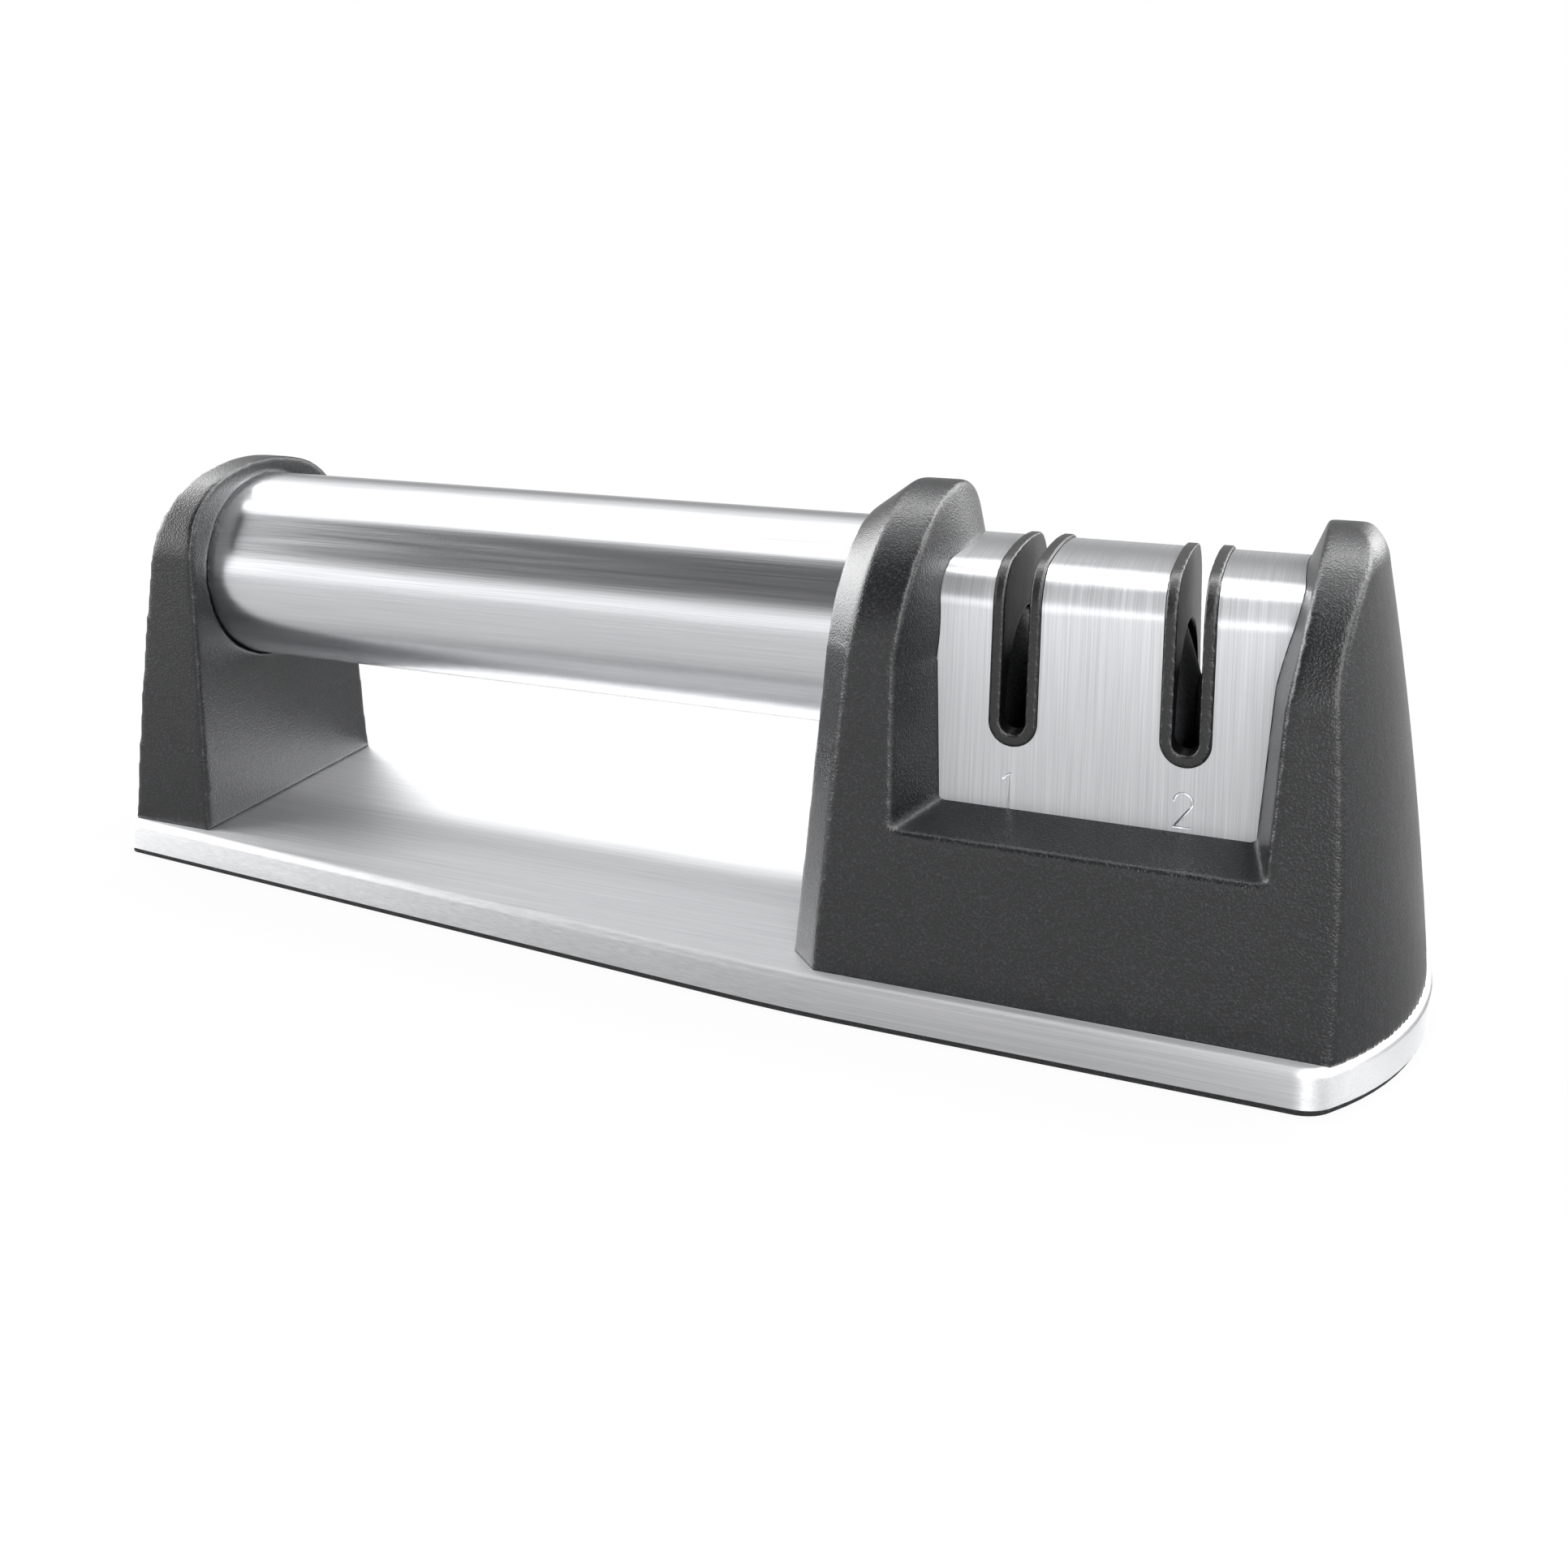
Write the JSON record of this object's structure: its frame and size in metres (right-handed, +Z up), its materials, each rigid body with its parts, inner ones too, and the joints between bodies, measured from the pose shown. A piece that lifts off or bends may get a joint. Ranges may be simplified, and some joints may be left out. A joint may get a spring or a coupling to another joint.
{
  "type": "pull through knife sharpener",
  "caption": "Bench knife sharpener: rounded steel-edged base on a rubber sole, brushed tube handle, black head with a steel saddle and two slots over coarse and fine wheels",
  "frame": {"origin": "middle of the rubber sole's underside, the bottom centre of the bounding box", "axes": "+X along the handle towards the sharpening head, +Y across to the far side, +Z up"},
  "size_m": [0.21, 0.064, 0.0698],
  "materials": {
    "brushed_sheet": "stainless sheet, brushed along the base and round the saddle",
    "brushed_tube": "stainless tube brushed along its length",
    "grained_abs": "moulded ABS with a fine spark-eroded grain",
    "glass_filled_abs": "plain moulded inner parts",
    "sole_rubber": "matt moulded rubber",
    "bright_steel": "ground and zinc-plated steel",
    "diamond_steel": "steel wheel with a nickel-bonded diamond coat",
    "grey_ceramic": "fine sintered abrasive ceramic",
    "bush_bronze": "sintered bearing bronze"
  },
  "bodies": {
    "root": {"base_tray": "brushed_sheet", "base_core": "glass_filled_abs", "rubber_sole": "sole_rubber", "rear_post": "grained_abs", "handle_tube": "brushed_tube", "head_housing": "grained_abs", "steel_cover": "brushed_sheet", "coarse_slot_liner": "grained_abs", "fine_slot_liner": "grained_abs", "wheel_frame": "glass_filled_abs", "coarse_bushes": "bush_bronze", "fine_bushes": "bush_bronze", "post_screws": "bright_steel", "housing_screws": "bright_steel", "frame_screws": "bright_steel"},
    "coarse_rotor": {"coarse_axle": "bright_steel", "coarse_wheel_rear": "diamond_steel", "coarse_wheel_end": "diamond_steel"},
    "fine_rotor": {"fine_axle": "bright_steel", "fine_wheel_rear": "grey_ceramic", "fine_wheel_end": "grey_ceramic"}
  },
  "joints": [
    {"name": "coarse_spin", "type": "hinge", "parent": "root", "child": "coarse_rotor", "pos_m": [0.04985, 0, 0.0391], "axis": [1, 0, 0], "continuous": true},
    {"name": "fine_spin", "type": "hinge", "parent": "root", "child": "fine_rotor", "pos_m": [0.07295, 0, 0.0391], "axis": [1, 0, 0], "continuous": true}
  ]
}
